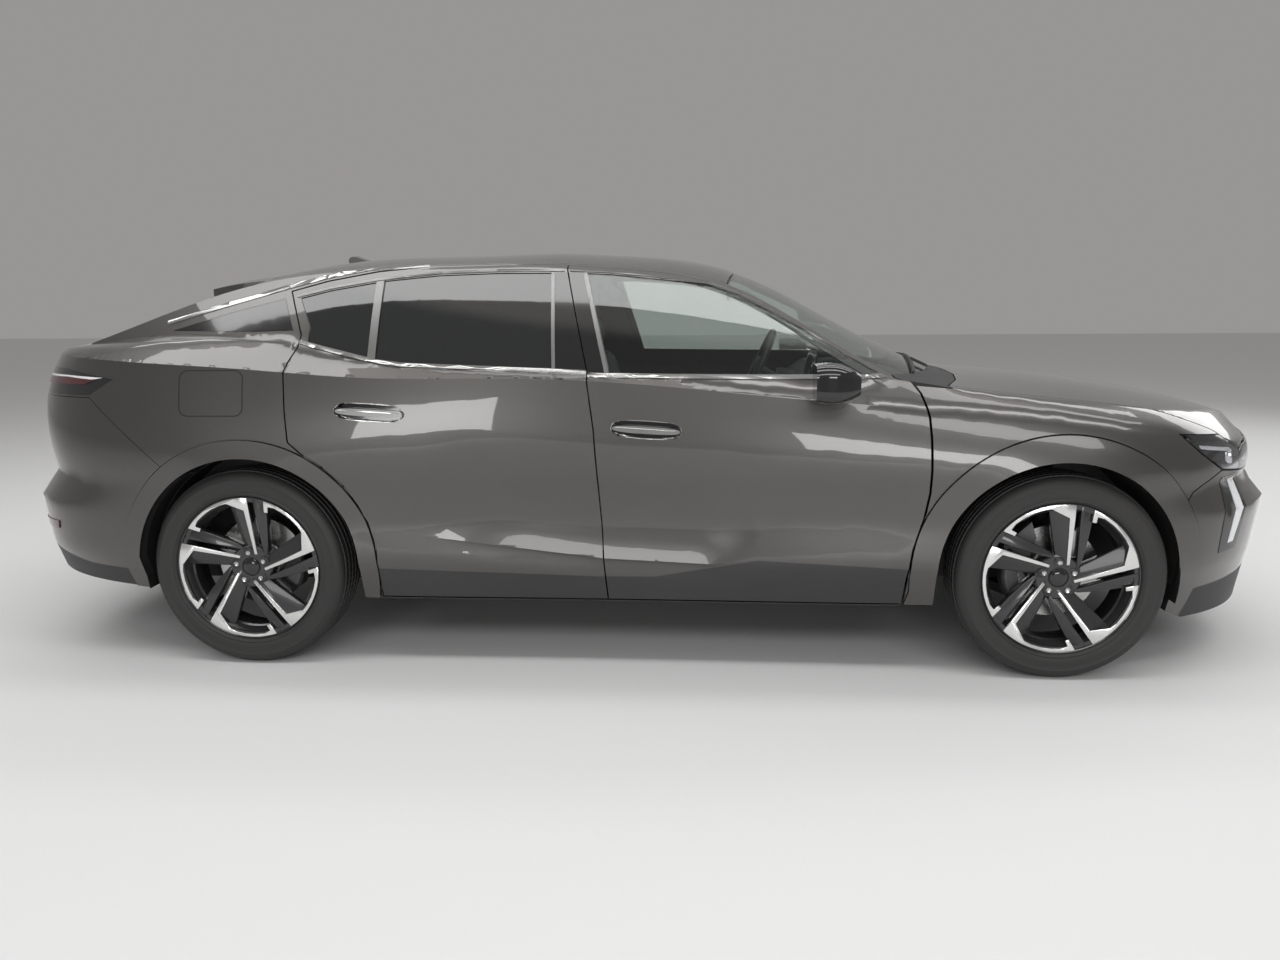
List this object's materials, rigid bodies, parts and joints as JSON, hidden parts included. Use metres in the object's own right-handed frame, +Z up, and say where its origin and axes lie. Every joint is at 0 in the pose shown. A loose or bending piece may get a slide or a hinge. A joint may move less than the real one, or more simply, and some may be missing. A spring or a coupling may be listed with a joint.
{
  "type": "fastback crossover",
  "caption": "Family crossover car with a fastback roof, side doors, a lifting tailgate and bonnet, and wheels that roll and steer.",
  "frame": {"origin": "on the ground under the middle of the body's length and width", "axes": "+X forward to the nose, +Y to the car's left, +Z up"},
  "size_m": [4.6761, 2.166, 1.4599],
  "materials": {
    "body_paint": "gloss",
    "dark_trim": "matt",
    "gloss_black": "gloss",
    "clear_glass": "clear",
    "privacy_glass": "tinted",
    "lamp_clear": "clear",
    "lamp_red": "gloss",
    "tyre_rubber": "matt",
    "wheel_alloy": "machined",
    "cast_metal": "rough",
    "black_steel": "satin",
    "steel": "brushed",
    "seat_fabric": "woven",
    "soft_trim": "grained",
    "wheel_leather": "grained"
  },
  "bodies": {
    "body": {"body_sides": "body_paint", "quarter_trims": "gloss_black", "front_fenders": "body_paint", "headlamps": "lamp_clear", "tail_lamps": "lamp_red", "cowl_panel": "dark_trim", "front_bumper": "body_paint", "grille": "gloss_black", "rear_bumper": "body_paint", "windscreen": "clear_glass", "roof_panel": "body_paint", "floor_pan": "black_steel", "wheel_liners": "dark_trim", "dashboard": "soft_trim", "front_seats": "seat_fabric", "rear_bench": "seat_fabric", "engine_block": "cast_metal", "front_subframe": "black_steel", "rear_axle": "black_steel", "exhaust": "steel", "arch_trims": "body_paint"},
    "steering_wheel": {"steering_wheel": "wheel_leather"},
    "bonnet": {"bonnet": "body_paint"},
    "tailgate": {"tailgate": "body_paint", "tailgate_glass": "privacy_glass"},
    "knuckle_left": {"knuckle_left": "cast_metal"},
    "knuckle_right": {"knuckle_right": "cast_metal"},
    "front_door_left": {"front_door_left": "body_paint", "front_door_glass_left": "clear_glass", "door_mirror_left": "gloss_black"},
    "rear_door_left": {"rear_door_left": "body_paint", "rear_door_glass_left": "privacy_glass"},
    "wheel_front_left": {"tyre_front_left": "tyre_rubber", "rim_front_left": "wheel_alloy"},
    "wheel_rear_left": {"tyre_rear_left": "tyre_rubber", "rim_rear_left": "wheel_alloy"},
    "front_door_right": {"front_door_right": "body_paint", "front_door_glass_right": "clear_glass", "door_mirror_right": "gloss_black"},
    "rear_door_right": {"rear_door_right": "body_paint", "rear_door_glass_right": "privacy_glass"},
    "wheel_front_right": {"tyre_front_right": "tyre_rubber", "rim_front_right": "wheel_alloy"},
    "wheel_rear_right": {"tyre_rear_right": "tyre_rubber", "rim_rear_right": "wheel_alloy"}
  },
  "joints": [
    {"name": "steer_left", "type": "hinge", "parent": "body", "child": "knuckle_left", "pos_m": [1.4365, 0.74, 0.35], "axis": [0, 0, 1], "range_deg": [-33, 33]},
    {"name": "steer_right", "type": "hinge", "parent": "body", "child": "knuckle_right", "pos_m": [1.4365, -0.74, 0.35], "axis": [0, 0, 1], "range_deg": [-33, 33]},
    {"name": "front_wheel_left_spin", "type": "hinge", "parent": "knuckle_left", "child": "wheel_front_left", "pos_m": [1.4365, 0.8, 0.35], "axis": [0, 1, 0], "continuous": true},
    {"name": "rear_wheel_left_spin", "type": "hinge", "parent": "body", "child": "wheel_rear_left", "pos_m": [-1.3505, 0.8, 0.35], "axis": [0, 1, 0], "continuous": true},
    {"name": "front_door_left_hinge", "type": "hinge", "parent": "body", "child": "front_door_left", "pos_m": [0.995, 0.915, 0.7], "axis": [0, 0, -1], "range_deg": [0, 65]},
    {"name": "rear_door_left_hinge", "type": "hinge", "parent": "body", "child": "rear_door_left", "pos_m": [-0.077, 0.907, 0.7], "axis": [0, 0, -1], "range_deg": [0, 65]},
    {"name": "front_wheel_right_spin", "type": "hinge", "parent": "knuckle_right", "child": "wheel_front_right", "pos_m": [1.4365, -0.8, 0.35], "axis": [0, 1, 0], "continuous": true},
    {"name": "rear_wheel_right_spin", "type": "hinge", "parent": "body", "child": "wheel_rear_right", "pos_m": [-1.3505, -0.8, 0.35], "axis": [0, 1, 0], "continuous": true},
    {"name": "front_door_right_hinge", "type": "hinge", "parent": "body", "child": "front_door_right", "pos_m": [0.995, -0.915, 0.7], "axis": [0, 0, 1], "range_deg": [0, 65]},
    {"name": "rear_door_right_hinge", "type": "hinge", "parent": "body", "child": "rear_door_right", "pos_m": [-0.077, -0.907, 0.7], "axis": [0, 0, 1], "range_deg": [0, 65]},
    {"name": "bonnet_hinge", "type": "hinge", "parent": "body", "child": "bonnet", "pos_m": [1.08, 0, 0.985], "axis": [0, -1, 0], "range_deg": [0, 55]},
    {"name": "tailgate_hinge", "type": "hinge", "parent": "body", "child": "tailgate", "pos_m": [-1.35, 0, 1.405], "axis": [0, 1, 0], "range_deg": [0, 75]},
    {"name": "steering_wheel_spin", "type": "hinge", "parent": "body", "child": "steering_wheel", "pos_m": [0.47, 0.37, 0.96], "axis": [-0.9135, 0, 0.4067], "range_deg": [-480, 480]}
  ],
  "couplings": [
    {"joint": "steer_right", "follows": "steer_left", "ratio": 1},
    {"joint": "steering_wheel_spin", "follows": "steer_left", "ratio": 14}
  ]
}
